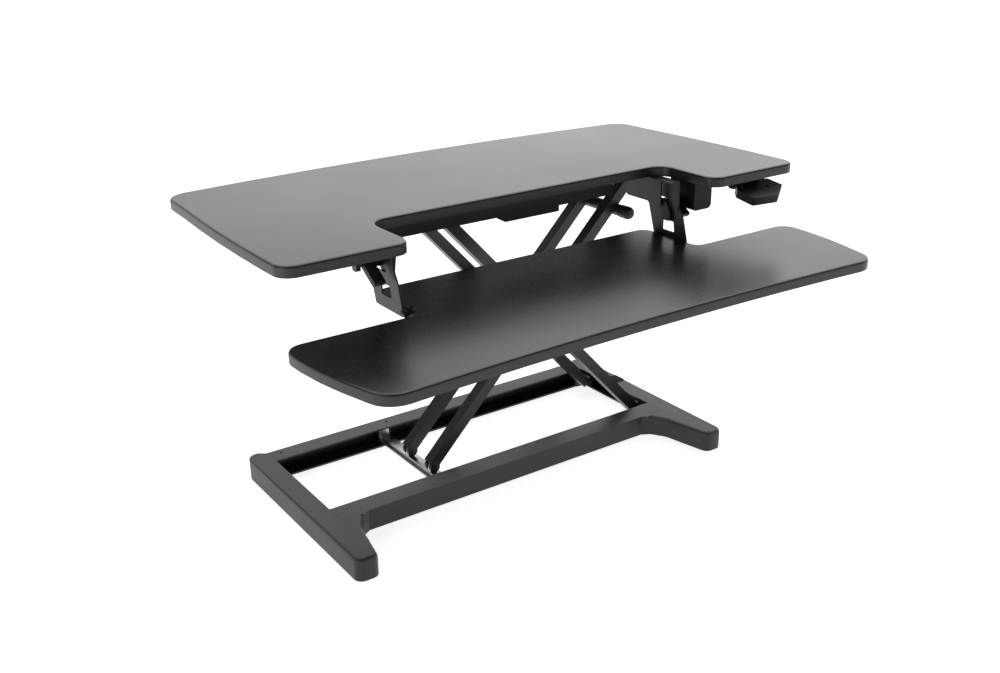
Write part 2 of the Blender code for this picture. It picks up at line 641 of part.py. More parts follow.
def tray_latch(side, hand):
    """A finger paddle outside the hanger and a hook inside it, on one short shaft."""
    y, z = LATCH_PIVOT
    slope = Vector((-0.0300, -0.0195)).normalized()
    across = Vector((slope.y, -slope.x)) * 0.0042
    tip = Vector(LATCH_PIVOT) + slope * 0.0375
    root = Vector(LATCH_PIVOT) - slope * 0.0040
    paddle = fillet([(*(root - across), 0.003), (*(tip - across), 0.003),
                     (*(tip + across), 0.002), (*(root + across), 0.003)], 3)
    paddle = side_prism(hand, paddle, 0.2660, 0.2830)
    obj = add_object(f"tray_latch_{side}", paddle, black_plastic())
    hook = fillet([(y + 0.0060, z + 0.0060, 0.003), (y + 0.0060, z - 0.0060, 0.003),
                   (-0.0310, 0.4240, 0.002), (-0.0300, 0.4130, 0.002),
                   (-0.0480, 0.4130, 0.002), (-0.0490, 0.4260, 0.004),
                   (-0.0400, z + 0.0010, 0.004), (-0.0340, z + 0.0060, 0.003)], 3)
    add(obj, side_prism(hand, hook, 0.2490, HANGER_X - 0.0006))
    shaft = rectangle((y - 0.0052, y + 0.0052), (z - 0.0040, z + 0.0040), 0.0015)
    add(obj, side_prism(hand, shaft, 0.2500, 0.2700))
    cut(obj, side_prism(hand, circle(y, z, 0.0018, 12), 0.2400, 0.2900))


def latch_pin(side, hand):
    """The latch turns on this pin, which hangs from the desktop at both ends."""
    y, z = LATCH_PIVOT
    outer = 0.2838 if hand > 0 else 0.2950
    under_foot = UNDER_DESK - HANGER_SHEET - GAP
    pin = side_prism(hand, circle(y, z, 0.0015, 12), 0.2440, outer)
    obj = add_object(f"latch_pin_{side}", pin, powder_coat())
    lug = fillet([(y - 0.0060, z - 0.0060, 0.003), (y + 0.0060, z - 0.0060, 0.003),
                  (y + 0.0060, under_foot), (y - 0.0060, under_foot)], 3)
    add(obj, side_prism(hand, lug, 0.2440, 0.2464))
    if hand < 0:
        tall = [(v, UNDER_DESK if w > z + 0.02 else w) for v, w in lug]
        add(obj, side_prism(hand, tall, 0.2880, 0.2950))


def tray_lock_screw():
    """A wing screw at the left hanger's front foot that holds the tray against it."""
    knob = rod_y(-0.2575, 0.3850, 0.0048, (-0.0960, -0.0862), 16)
    obj = add_object("tray_lock_screw", knob, black_plastic())
    wing = [(-0.2560, 0.3870), (-0.2530, 0.3850), (-0.2470, 0.3930), (-0.2490, 0.3950)]
    add(obj, prism(wing, -0.0945, -0.0925, "Y"))


def tray_fittings():
    for side, hand in (("left", -1), ("right", 1)):
        tray_hanger(side, hand)
        tray_side_plate(side, hand)
        tray_latch(side, hand)
        latch_pin(side, hand)
    tray_lock_screw()


# --- height release -----------------------------------------------------------------------
def lock_box():
    """The closed housing of the height lock, under the right wing."""
    outline = fillet([(0.2845, UNDER_DESK), (0.2845, 0.4270, 0.004),
                      (0.3215, 0.4270, 0.008), (0.3215, UNDER_DESK)])
    add_object("lock_box", prism(outline, -0.0656, -0.0100, "Y"), black_plastic())


def release_lever():
    """A squeeze paddle under the right wing, in front of its hinge."""
    y, z = LEVER_PIVOT
    reach = Vector((-math.cos(LEVER_SLOPE), -math.sin(LEVER_SLOPE)))
    low, high = LEVER_X
    plan = fillet([(low, 0.0), (low, 0.0100), (0.3300, 0.0160), (0.3195, 0.0300, 0.003),
                   (0.3215, 0.0640, 0.005), (0.3700, 0.0690, 0.005), (0.4060, 0.0420, 0.004),
                   (0.4020, 0.0150, 0.003), (high, 0.0100), (high, 0.0)], 3)
    bm = prism(plan, -LEVER_THICK / 2, LEVER_THICK / 2)
    rim = [e for e in bm.edges if all(v.co.z < 0 and v.co.y > 0.0155 for v in e.verts)]
    bmesh.ops.bevel(bm, geom=rim, offset=0.005, segments=2, affect="EDGES", clamp_overlap=True)
    tilt = Matrix(((1, 0, 0, 0), (0, reach.x, reach.y, y), (0, reach.y, -reach.x, z), (0, 0, 0, 1)))
    bm.transform(tilt)
    obj = add_object("release_lever", bm, black_plastic())
    add(obj, prism(circle(y, z, LEVER_THICK / 2, 20), low, high, "X"))
    cut(obj, prism(circle(y, z, 0.0028, 16), low - 0.01, high + 0.01, "X"))
    for x in (0.3490, 0.3755):
        cut(obj, block((x, x + 0.0036), (y - 0.0430, y - 0.0340), (0.4300, 0.4790)))


def lever_housing():
    """The bracket under the desktop that carries the lever's pin."""
    y, z = LEVER_PIVOT
    low, high = LEVER_X
    ear_x = (low - 0.0035, high + 0.0005)
    plate = block((ear_x[0], ear_x[1] + 0.0030), (y - 0.0080, y + 0.0350),
                  (UNDER_DESK - 0.0025, UNDER_DESK))
    obj = add_object("lever_housing", plate, powder_coat())
    ear = fillet([(y - 0.0070, z - 0.0070, 0.005), (y + 0.0070, z - 0.0070, 0.005),
                  (y + 0.0200, UNDER_DESK - 0.001), (y - 0.0070, UNDER_DESK - 0.001)])
    for x in ear_x:
        add(obj, prism(ear, x, x + 0.0030, "X"))
        cut(obj, prism(circle(y, z, 0.0028, 16), x - 0.001, x + 0.004, "X"))
    pin = prism(circle(y, z, 0.0025, 16), ear_x[0] - 0.0010, ear_x[1] + 0.0040, "X")
    add_object("lever_pin", pin, bare_steel())


# --- gas spring ---------------------------------------------------------------------------
def gas_spring():
    low = Vector(arm_point(-1, -GAS_LOW_REACH))
    high = Vector(arm_point(1, GAS_HIGH_REACH))
    along = (high - low).normalized()
    span = (high - low).length
    turn = Matrix(((along.x, 0, -along.y, low.x), (0, 1, 0, 0),
                   (along.y, 0, along.x, low.y), (0, 0, 0, 1)))

    def spun(profile):
        """Turn a profile of (radius, distance from the lower stud) about the spring's axis."""
        bm = turned_y(profile, 0.0, 0.0)
        bm.transform(turn @ Matrix(((0, 1, 0, 0), (1, 0, 0, GAS_Y), (0, 0, -1, 0), (0, 0, 0, 1))))
        return bm

    bore = GAS_ROD_RADIUS + GAP
    body = spun([(0.0, 0.014), (GAS_RADIUS, 0.014), (GAS_RADIUS, GAS_BODY_LENGTH - 0.002),
                 (GAS_RADIUS - 0.002, GAS_BODY_LENGTH), (bore, GAS_BODY_LENGTH),
                 (bore, 0.025), (0.0, 0.025)])
    cylinder = add_object("gas_cylinder", body, black_lacquer())
    eye = rod_y(low.x, low.y, 0.0085, (GAS_Y - 0.006, GAS_Y + 0.006))
    add(cylinder, eye)
    add(cylinder, spun([(0.0, 0.004), (0.006, 0.004), (0.006, 0.018), (0.0, 0.018)]))
    cut(cylinder, rod_y(low.x, low.y, AXLE_RADIUS + GAP, (GAS_Y - 0.007, GAS_Y + 0.007)))
    hidden = GAS_BODY_LENGTH - 0.016
    shank = [(0.0, hidden), (GAS_ROD_RADIUS, hidden), (GAS_ROD_RADIUS, span), (0.0, span)]
    rod = add_object("gas_rod", spun(shank), bare_steel())
    add(rod, rod_y(high.x, high.y, 0.0075, (GAS_Y - 0.006, GAS_Y + 0.006)))
    add(rod, rod_y(high.x, high.y, 0.0035, (GAS_PLATE_Y + GAP, GAS_Y)))
    arm_face = ARM_B_REAR_Y - GAP
    stud = rod_y(low.x, low.y, AXLE_RADIUS, (GAS_Y - 0.0075, arm_face))
    stud = add_object("gas_stud", stud, bare_steel())
    add(stud, rod_y(low.x, low.y, 0.0070, (GAS_Y + 0.0065, arm_face)))
    plate_y = (ARM_A_REAR_Y + TUBE_WIDE + GAP, GAS_PLATE_Y)
    plate = prism(circle(high.x, high.y, 0.0110), *plate_y, "Y")
    add_object("gas_rest_plate", plate, powder_coat())


# --- joint axes ---------------------------------------------------------------------------
def seat_origins():
    """Put the origin of every moving piece on the axis that it turns or slides on."""
    gas_low = arm_point(-1, -GAS_LOW_REACH)
    gas_high = arm_point(1, GAS_HIGH_REACH)
    arm_y = 0.1600
    roller_x = SLIDER_X + LOW_ROLLER_SHIFT
    latch_y, latch_z = LATCH_PIVOT
    lever_y, lever_z = LEVER_PIVOT
    axes = {
        (PIVOT_X, arm_y, PIVOT_LOW): ("arm_outer_front", "arm_outer_rear", "arm_outer_cross_tube",
                                      "centre_axle", "gas_stud"),
        (CENTRE_X, arm_y, CENTRE_Z): ("arm_inner_front", "arm_inner_rear", "arm_inner_cross_tube",
                                      "centre_spacer", "bumper_bar", "bumper_cap",
                                      "gas_rest_plate"),
        (SLIDER_X, arm_y, PIVOT_LOW): ("lower_slider_bar", "lower_slider_pin_front",
                                       "lower_slider_pin_rear"),
        (SLIDER_X, arm_y, PIVOT_HIGH): ("upper_slider_axle", "upper_slider_sleeve",
                                        "upper_roller_front", "upper_roller_rear"),
        (roller_x, arm_y, LOW_ROLLER_Z): ("lower_roller_front", "lower_roller_rear"),
        (gas_low[0], GAS_Y, gas_low[1]): ("gas_cylinder",),
        (gas_high[0], GAS_Y, gas_high[1]): ("gas_rod",),
        (-0.2650, latch_y, latch_z): ("tray_latch_left",),
        (0.2650, latch_y, latch_z): ("tray_latch_right",),
        (0.3670, lever_y, lever_z): ("release_lever",),
        (PIVOT_X, arm_y, PIVOT_HIGH): TOP_PIECES,
    }
    for point, names in axes.items():
        for name in names:
            obj = bpy.data.objects[name]
            obj.data.transform(Matrix.Translation(-Vector(point)))
            obj.location = point


def build():
    clear_scene()
    desktop()
    keyboard_tray()
    base_side("base_side_left", -1)
    base_side("base_side_right", 1)
    base_rails()
    rubber_feet()
    rest_pad()
    base_pivots()
    inner_arm()
    bumper_bar()
    outer_arm()
    lower_slider()
    upper_slider()
    top_frame()
    cable_guide()
    tray_fittings()
    lock_box()
    release_lever()
    lever_housing()
    gas_spring()
    seat_origins()


build()
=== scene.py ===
"""Looks of the standing desk converter: finishes, rounded edges, fasteners, camera and light."""
import json
import math

import bmesh
import bpy
from mathutils import Matrix, Vector


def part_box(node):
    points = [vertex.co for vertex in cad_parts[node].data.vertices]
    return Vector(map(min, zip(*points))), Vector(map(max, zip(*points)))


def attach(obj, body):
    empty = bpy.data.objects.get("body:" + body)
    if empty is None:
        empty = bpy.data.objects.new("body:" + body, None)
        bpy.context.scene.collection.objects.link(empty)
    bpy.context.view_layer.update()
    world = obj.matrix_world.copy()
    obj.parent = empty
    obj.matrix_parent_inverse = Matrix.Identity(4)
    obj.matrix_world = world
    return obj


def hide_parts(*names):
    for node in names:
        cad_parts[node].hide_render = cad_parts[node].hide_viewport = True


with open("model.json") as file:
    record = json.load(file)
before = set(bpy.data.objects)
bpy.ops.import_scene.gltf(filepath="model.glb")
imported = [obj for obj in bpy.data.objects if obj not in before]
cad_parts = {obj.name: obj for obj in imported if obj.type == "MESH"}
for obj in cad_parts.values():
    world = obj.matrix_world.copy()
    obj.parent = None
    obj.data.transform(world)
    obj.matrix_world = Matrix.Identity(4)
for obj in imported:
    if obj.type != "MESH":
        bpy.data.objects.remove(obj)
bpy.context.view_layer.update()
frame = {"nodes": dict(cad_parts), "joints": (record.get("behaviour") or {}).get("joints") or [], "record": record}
BODIES = frame["record"]["behaviour"]["bodies"]
BODY_OF = {node: body for body, nodes in BODIES.items() for node in nodes}
SLOT_OF = {part["node"]: part["material_slot"] for part in frame["record"]["subparts"]}

# camera, in metres and degrees; the focal length is for a 36 mm wide sensor
CAMERA_PLACE = Vector((-0.9482, -1.3283, 0.9124))
CAMERA_YAW = math.radians(-34.2347)
CAMERA_PITCH = math.radians(21.7148)
CAMERA_ROLL = math.radians(-1.0011)
CAMERA_FOCAL = 40.98

# light
BRIGHT_WALL = Vector((0.74, 0.60, 0.34))
BRIGHT_SIDE = 1.62
DIM_SIDE = 0.22
FLOOR_GLOW = 0.82
FLOOR_RADIUS = 300.0

# edge radii
TUBE_EDGE = 0.0014
SHEET_EDGE = 0.0005
CASTING_EDGE = 0.0016
MOULDED_EDGE = 0.0010
BOARD_EDGE = 0.0008
RAIL_EDGE = 0.0009
BOX_EDGE = 0.0015
SLIDER_EDGE = 0.0004
SHARP_ANGLE = math.radians(38)
SEAM_REACH = 0.0006

# rollers
ROLLER_BORE = 0.0043
ROLLER_HUB = 0.0022
ROLLER_RIM = 0.0020
ROLLER_CROWN = 0.0006
ROLLER_GROOVE = 0.0008
ROLLER_STEP = 0.0012

# fasteners
SCREW_RADIUS = 0.0038
SCREW_HEIGHT = 0.0018
WELD_BEAD = 0.0014
RAIL_SCREWS = 5
RAIL_SCREW_INSET = 0.016
BAR_SCREW_INSET = 0.030


# --- camera and light ---------------------------------------------------------------------
def make_camera():
    """The camera that sees the riser as the photograph does."""
    flat = Vector((-math.sin(CAMERA_YAW), math.cos(CAMERA_YAW), 0.0))
    ahead = flat * math.cos(CAMERA_PITCH) - Vector((0, 0, math.sin(CAMERA_PITCH)))
    right = Vector((math.cos(CAMERA_YAW), math.sin(CAMERA_YAW), 0.0))
    up = right.cross(ahead)
    turn = Matrix.Rotation(CAMERA_ROLL, 2)
    side = right * turn[0][0] + up * turn[1][0]
    top = up * turn[1][1] + right * turn[0][1]
    data = bpy.data.cameras.new("camera")
    data.sensor_width = 36.0
    data.lens = CAMERA_FOCAL
    camera = bpy.data.objects.new("camera", data)
    bpy.context.scene.collection.objects.link(camera)
    pose = Matrix((side, top, -ahead)).transposed().to_4x4()
    pose.translation = CAMERA_PLACE
    camera.matrix_world = pose
    bpy.context.scene.camera = camera


def soft_box(name, place, target, width, height, power):
    """One large rectangular lamp that looks at a point."""
    data = bpy.data.lights.new(name, "AREA")
    data.shape = "RECTANGLE"
    data.size = width
    data.size_y = height
    data.energy = power
    lamp = bpy.data.objects.new(name, data)
    lamp.location = place
    lamp.rotation_euler = (Vector(target) - Vector(place)).to_track_quat("-Z", "Y").to_euler()
    bpy.context.scene.collection.objects.link(lamp)


def make_light():
    """A pale studio whose far right wall is brighter than the side that the camera is on."""
    world = bpy.data.worlds.new("studio")
    world.use_nodes = True
    tree = world.node_tree
    direction = tree.nodes.new("ShaderNodeTexCoord").outputs["Generated"]
    dot = tree.nodes.new("ShaderNodeVectorMath")
    dot.operation = "DOT_PRODUCT"
    tree.links.new(direction, dot.inputs[0])
    dot.inputs[1].default_value = BRIGHT_WALL.normalized()
    sky = tree.nodes["Background"]
    sky.inputs["Color"].default_value = (1.0, 1.0, 1.0, 1.0)
    tree.links.new(remap(tree, dot.outputs["Value"], 0.40, 1.0, DIM_SIDE, BRIGHT_SIDE),
                   sky.inputs["Strength"])
    bpy.context.scene.world = world
    bpy.context.scene.view_settings.view_transform = "Standard"
    soft_box("overhead", (0.6, 1.6, 3.0), (0.0, 0.1, 0.3), 2.5, 2.5, 10.0)
    soft_box("left", (-2.6, -0.4, 0.9), (0.0, 0.0, 0.3), 1.6, 1.6, 16.0)


# --- shader helpers -----------------------------------------------------------------------
def add_node(tree, kind, **values):
    """Add a node. A value is a number, a colour or another node's output; '_' stands for a space."""
    node = tree.nodes.new(kind)
    for name, value in values.items():
        socket = node.inputs[name.replace("_", " ")]
        if isinstance(value, bpy.types.NodeSocket):
            tree.links.new(value, socket)
        else:
            socket.default_value = value
    return node


def blank(name):
    """A new Principled material: the material, its node tree, its shader and its coordinates."""
    material = bpy.data.materials.new(name)
    material.use_nodes = True
    tree = material.node_tree
    place = tree.nodes.new("ShaderNodeTexCoord").outputs["Object"]
    return material, tree, tree.nodes["Principled BSDF"], place


def noise(tree, place, scale, detail=2.0, roughness=0.5):
    node = add_node(tree, "ShaderNodeTexNoise", Vector=place, Scale=scale, Detail=detail,
                    Roughness=roughness)
    return node.outputs["Fac"]


def stretched(tree, place, scale):
    """Coordinates with a different scale along each axis."""
    node = tree.nodes.new("ShaderNodeMapping")
    node.inputs["Scale"].default_value = scale
    tree.links.new(place, node.inputs["Vector"])
    return node.outputs["Vector"]


def remap(tree, value, low, high, out_low, out_high):
    """Bring a value from one range to another."""
    node = add_node(tree, "ShaderNodeMapRange", Value=value, From_Min=low, From_Max=high,
                    To_Min=out_low, To_Max=out_high)
    return node.outputs["Result"]


def maths(tree, operation, first, second):
    node = tree.nodes.new("ShaderNodeMath")
    node.operation = operation
    for socket, value in zip(node.inputs, (first, second)):
        if isinstance(value, bpy.types.NodeSocket):
            tree.links.new(value, socket)
        else:
            socket.default_value = value
    return node.outputs["Value"]


def mixed(tree, share, first, second):
    """Blend two colours, given as numbers or outputs."""
    node = tree.nodes.new("ShaderNodeMix")
    node.data_type = "RGBA"
    for socket, value in zip((node.inputs[0], node.inputs[6], node.inputs[7]),
                             (share, first, second)):
        if isinstance(value, bpy.types.NodeSocket):
            tree.links.new(value, socket)
        elif isinstance(value, tuple):
            socket.default_value = (*value, 1.0)
        else:
            socket.default_value = value
    return node.outputs[2]


def edge_wear(tree, radius, place):
    """A mask of the worn edges: 1 on an edge, 0 on a flat, broken up by noise."""
    rounded_normal = tree.nodes.new("ShaderNodeBevel")
    rounded_normal.samples = 4
    rounded_normal.inputs["Radius"].default_value = radius
    geometry = tree.nodes.new("ShaderNodeNewGeometry")
    dot = tree.nodes.new("ShaderNodeVectorMath")
    dot.operation = "DOT_PRODUCT"
    tree.links.new(rounded_normal.outputs["Normal"], dot.inputs[0])
    tree.links.new(geometry.outputs["Normal"], dot.inputs[1])
    edge = remap(tree, dot.outputs["Value"], 0.995, 0.80, 0.0, 1.0)
    patches = remap(tree, noise(tree, place, 90.0, 4.0, 0.65), 0.42, 0.70, 0.15, 1.0)
    return maths(tree, "MULTIPLY", edge, patches)


def set_bump(tree, shader, layers):
    """Stack bump layers. Each is (height output, strength, distance in metres)."""
    normal = None
    for height, strength, distance in layers:
        node = add_node(tree, "ShaderNodeBump", Height=height, Strength=strength,
                        Distance=distance)
        if normal is not None:
            tree.links.new(normal, node.inputs["Normal"])
        normal = node.outputs["Normal"]
    tree.links.new(normal, shader.inputs["Normal"])


# --- finishes -----------------------------------------------------------------------------
def laminate():
    """Black melamine with a fine pebble grain on top and a smoother edge band round it, with painted shade (less
    specular) on its sloped edges.
    """
    material, tree, shader, place = blank("board_laminate")
    up = tree.nodes.new("ShaderNodeSeparateXYZ")
    facing_way = tree.nodes.new("ShaderNodeTexCoord").outputs["Normal"]
    tree.links.new(facing_way, up.inputs[0])
    level = maths(tree, "ABSOLUTE", up.outputs["Z"], 0.0)
    flat = remap(tree, level, 0.90, 0.985, 0.0, 1.0)
    cloud = noise(tree, place, 5.0, 3.0)
    grain = noise(tree, place, 1500.0, 3.0, 0.6)
    pebble = add_node(tree, "ShaderNodeTexVoronoi", Vector=place, Scale=900.0)
    face = mixed(tree, remap(tree, grain, 0.35, 0.70, 0.0, 1.0),
                 (0.006, 0.006, 0.007), (0.014, 0.014, 0.015))
    band = mixed(tree, remap(tree, cloud, 0.3, 0.7, 0.0, 1.0),
                 (0.007, 0.007, 0.008), (0.011, 0.011, 0.012))
    tree.links.new(mixed(tree, flat, band, face), shader.inputs["Base Color"])
    face_rough = maths(tree, "ADD", remap(tree, cloud, 0.3, 0.7, 0.23, 0.28),
                       remap(tree, grain, 0.3, 0.7, -0.02, 0.04))
    rough = tree.nodes.new("ShaderNodeMix")
    tree.links.new(flat, rough.inputs["Factor"])
    rough.inputs["A"].default_value = 0.36
    tree.links.new(face_rough, rough.inputs["B"])
    tree.links.new(rough.outputs["Result"], shader.inputs["Roughness"])
    # painted shade: sloped faces such as chamfers and rounded edges get less specular so that they read darker;
    # the laminate is the same there
    shade_on_slopes = maths(tree, "PINGPONG", level, 0.5)
    tree.links.new(remap(tree, shade_on_slopes, 0.05, 0.30, 0.5, 0.18), shader.inputs["Specular IOR Level"])
    pitted = maths(tree, "MULTIPLY", pebble.outputs["Distance"], flat)
    set_bump(tree, shader, ((pitted, 0.07, 0.00012), (grain, 0.045, 0.00008)))
    return material


def powder_coat():
    """Black powder coat: fine orange peel, slight cloudiness and paler rubbed edges."""
    material, tree, shader, place = blank("powder_coat")
    peel = noise(tree, place, 800.0, 2.0, 0.45)
    speck = noise(tree, place, 3200.0, 1.0)
    cloud = noise(tree, place, 12.0, 3.0)
    wear = edge_wear(tree, 0.0012, place)
    coat = mixed(tree, remap(tree, cloud, 0.3, 0.7, 0.0, 1.0),
                 (0.011, 0.011, 0.012), (0.018, 0.018, 0.019))
    tree.links.new(mixed(tree, maths(tree, "MULTIPLY", wear, 0.35), coat, (0.11, 0.11, 0.115)),
                   shader.inputs["Base Color"])
    rough = maths(tree, "ADD", remap(tree, cloud, 0.3, 0.7, 0.36, 0.44),
                  remap(tree, peel, 0.3, 0.7, -0.03, 0.03))
    tree.links.new(maths(tree, "SUBTRACT", rough, maths(tree, "MULTIPLY", wear, 0.06)),
                   shader.inputs["Roughness"])
    shader.inputs["Specular IOR Level"].default_value = 0.42
    set_bump(tree, shader, ((peel, 0.16, 0.00020), (speck, 0.06, 0.00005)))
    return material


def moulded_plastic():
    """Black moulded plastic with a spark-eroded grain."""
    material, tree, shader, place = blank("black_plastic")
    grain = noise(tree, place, 1800.0, 3.0, 0.6)
    cloud = noise(tree, place, 25.0, 2.0)
    wear = edge_wear(tree, 0.0009, place)
    body = mixed(tree, remap(tree, cloud, 0.3, 0.7, 0.0, 1.0),
                 (0.006, 0.006, 0.007), (0.011, 0.011, 0.012))
    tree.links.new(mixed(tree, maths(tree, "MULTIPLY", wear, 0.25), body, (0.05, 0.05, 0.05)),
                   shader.inputs["Base Color"])
    tree.links.new(remap(tree, grain, 0.3, 0.7, 0.40, 0.52), shader.inputs["Roughness"])
    shader.inputs["Specular IOR Level"].default_value = 0.33
    set_bump(tree, shader, ((grain, 0.22, 0.00012),))
    return material


def rubber():
    """Matt black rubber with a faint bloom."""
    material, tree, shader, place = blank("black_rubber")
    bloom = noise(tree, place, 60.0, 4.0)
    grain = noise(tree, place, 1400.0, 2.0)
    tree.links.new(mixed(tree, remap(tree, bloom, 0.35, 0.7, 0.0, 1.0),
                         (0.008, 0.008, 0.008), (0.016, 0.016, 0.015)),
                   shader.inputs["Base Color"])
    tree.links.new(remap(tree, grain, 0.3, 0.7, 0.74, 0.88), shader.inputs["Roughness"])
    shader.inputs["Specular IOR Level"].default_value = 0.2
    set_bump(tree, shader, ((grain, 0.25, 0.00012),))
    return material


def zinc():
    """Turned steel with a zinc plate: fine lines across it and a cloudy sheen."""
    material, tree, shader, place = blank("bare_steel")
    lines = noise(tree, stretched(tree, place, (300.0, 4000.0, 300.0)), 1.0, 2.0)
    cloud = noise(tree, place, 45.0, 3.0)
    tree.links.new(mixed(tree, remap(tree, cloud, 0.3, 0.7, 0.0, 1.0),
                         (0.36, 0.36, 0.37), (0.50, 0.50, 0.50)), shader.inputs["Base Color"])
    shader.inputs["Metallic"].default_value = 1.0
    tree.links.new(remap(tree, lines, 0.3, 0.7, 0.24, 0.40), shader.inputs["Roughness"])
    set_bump(tree, shader, ((lines, 0.10, 0.00005),))
    return material


def polished_rod():
    """The gas spring's ground and polished rod."""
    material, tree, shader, place = blank("polished_rod")
    lines = noise(tree, stretched(tree, place, (900.0, 900.0, 2500.0)), 1.0, 2.0)
    tree.links.new(mixed(tree, lines, (0.58, 0.58, 0.60), (0.70, 0.70, 0.71)),
                   shader.inputs["Base Color"])
    shader.inputs["Metallic"].default_value = 1.0
    tree.links.new(remap(tree, lines, 0.3, 0.7, 0.08, 0.16), shader.inputs["Roughness"])
    set_bump(tree, shader, ((lines, 0.03, 0.00002),))
    return material


def lacquer():
    """Smooth black lacquer on the gas spring's cylinder."""
    material, tree, shader, place = blank("black_lacquer")
    runs = noise(tree, place, 70.0, 2.0)
    dust = noise(tree, place, 900.0, 2.0)
    tree.links.new(mixed(tree, remap(tree, runs, 0.3, 0.7, 0.0, 1.0),
                         (0.007, 0.007, 0.008), (0.012, 0.012, 0.013)),
                   shader.inputs["Base Color"])
    tree.links.new(remap(tree, dust, 0.3, 0.7, 0.18, 0.26), shader.inputs["Roughness"])
    shader.inputs["Coat Weight"].default_value = 0.4
    shader.inputs["Coat Roughness"].default_value = 0.12
    set_bump(tree, shader, ((runs, 0.05, 0.0002), (dust, 0.03, 0.00004)))
    return material


def black_oxide():
    """Blackened steel of the screws."""
    material, tree, shader, place = blank("black_oxide")
    cloud = noise(tree, place, 400.0, 3.0)
    wear = edge_wear(tree, 0.0004, place)
    tree.links.new(mixed(tree, maths(tree, "MULTIPLY", wear, 0.5), (0.035, 0.035, 0.037),
                         (0.20, 0.20, 0.20)), shader.inputs["Base Color"])
    shader.inputs["Metallic"].default_value = 0.9
    tree.links.new(remap(tree, cloud, 0.3, 0.7, 0.30, 0.48), shader.inputs["Roughness"])
    set_bump(tree, shader, ((cloud, 0.08, 0.00005),))
    return material


# --- meshes -------------------------------------------------------------------------------
def add_piece(name, bm, material, body, smooth_angle=32):
    """Link a bmesh as a piece that rides on a body."""
    bmesh.ops.recalc_face_normals(bm, faces=bm.faces)
    mesh = bpy.data.meshes.new(name)
    bm.to_mesh(mesh)
    bm.free()
    mesh.materials.append(material)
    mesh.shade_smooth()
    mesh.set_sharp_from_angle(angle=math.radians(smooth_angle))
    piece = bpy.data.objects.new(name, mesh)
    bpy.context.scene.collection.objects.link(piece)
    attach(piece, body)
    return piece


def rounded(node, width, material, seam=None):
    """A copy of a CAD piece with its sharp edges rounded. It stands for the CAD node.

    A seam is the distance from the middle of the riser to a welded joint: the ends there are
    brought together and stay square.
    """
    bm = bmesh.new()
    bm.from_mesh(frame["nodes"][node].data)
    bmesh.ops.remove_doubles(bm, verts=bm.verts, dist=2e-6)
    bmesh.ops.dissolve_limit(bm, angle_limit=math.radians(0.4), verts=bm.verts, edges=bm.edges)
    clean = bmesh.new()
    corners = [clean.verts.new(vert.co) for vert in bm.verts]
    bm.verts.index_update()
    for face in bm.faces:
        clean.faces.new([corners[vert.index] for vert in face.verts])
    bm.free()
    if seam is not None:
        for vert in corners:
            if abs(abs(vert.co.x) - seam) < SEAM_REACH:
                vert.co.x = math.copysign(seam, vert.co.x)
    weight = clean.edges.layers.float.new("bevel_weight_edge")
    for edge in clean.edges:
        joined = seam is not None and all(abs(abs(v.co.x) - seam) < 1e-6 for v in edge.verts)
        if not joined and edge.calc_face_angle(0.0) > SHARP_ANGLE:
            edge[weight] = 1.0
    piece = add_piece(f"{node}_finished", clean, material, BODY_OF[node])
    edge = piece.modifiers.new("rounded_edges", "BEVEL")
    edge.width = width
    edge.segments = 2
    edge.limit_method = "WEIGHT"
    edge.use_clamp_overlap = False
    even = piece.modifiers.new("even_shading", "WEIGHTED_NORMAL")
    even.keep_sharp = True
    even.weight = 100
    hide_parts(node)
    return piece


def skin(bm, rings):
    """Join each ring of vertices to the next one with four-sided faces."""
    for first, second in zip(rings, rings[1:]):
        for step, vert in enumerate(first):
            after = (step + 1) % len(first)
            bm.faces.new((vert, first[after], second[after], second[step]))


def level_ring(bm, pose, sides, radius, height, six_sided=False):
    """A ring of vertices about the pose's Z axis, round or six-sided."""
    ring = []
    for step in range(sides):
        angle = math.tau * step / sides
        reach = radius
        if six_sided:
            reach = radius / math.cos((angle % math.radians(60)) - math.radians(30))
        point = Vector((reach * math.cos(angle), reach * math.sin(angle), height))
        ring.append(bm.verts.new(pose @ point))
    return ring


def lathe(bm, profile, pose, sides=32):
    """Spin (radius, height, six-sided or not) about the pose's Z axis, from one cap to the other."""
    rings = [level_ring(bm, pose, sides, *step) for step in profile]
    bm.faces.new(rings[0])
    bm.faces.new(list(reversed(rings[-1])))
    skin(bm, rings)


def facing(place, axis):
    """A pose whose Z axis points along axis."""
    turn = Vector((0, 0, 1)).rotation_difference(Vector(axis)).to_matrix().to_4x4()
    return Matrix.Translation(place) @ turn


def screws(name, body, places, axis, material, size=1.0):
    """Button-head screws with six-sided sockets, seated on a face that looks along axis."""
    radius = SCREW_RADIUS * size
    high = SCREW_HEIGHT * size
    profile = ((radius * 0.96, -0.0002, False), (radius, 0.0002, False),
               (radius * 0.97, high * 0.45, False), (radius * 0.80, high * 0.85, False),
               (radius * 0.60, high, False), (radius * 0.46, high, True),
               (radius * 0.43, high * 0.30, True))
    bm = bmesh.new()
    for place in places:
        lathe(bm, profile, facing(place, axis), 24)
    piece = add_piece(name, bm, material, body)


def weld_ring(bm, place, axis, radius, bead=WELD_BEAD):
    """A rippled weld bead round a tube's end."""
    pose = facing(place, axis)
    around, across = 96, 8
    rings = []
    for step in range(around):
        angle = math.tau * step / around
        thick = bead * (0.86 + 0.14 * math.sin(angle * 24))
        ring = []
        for part in range(across):
            turn = math.tau * part / across
            out = radius + thick * math.cos(turn)
            point = Vector((out * math.cos(angle), out * math.sin(angle), thick * math.sin(turn)))
            ring.append(bm.verts.new(pose @ point))
        rings.append(ring)
    skin(bm, rings + rings[:1])


def middle(node):
    low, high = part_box(node)
    return (low + high) / 2


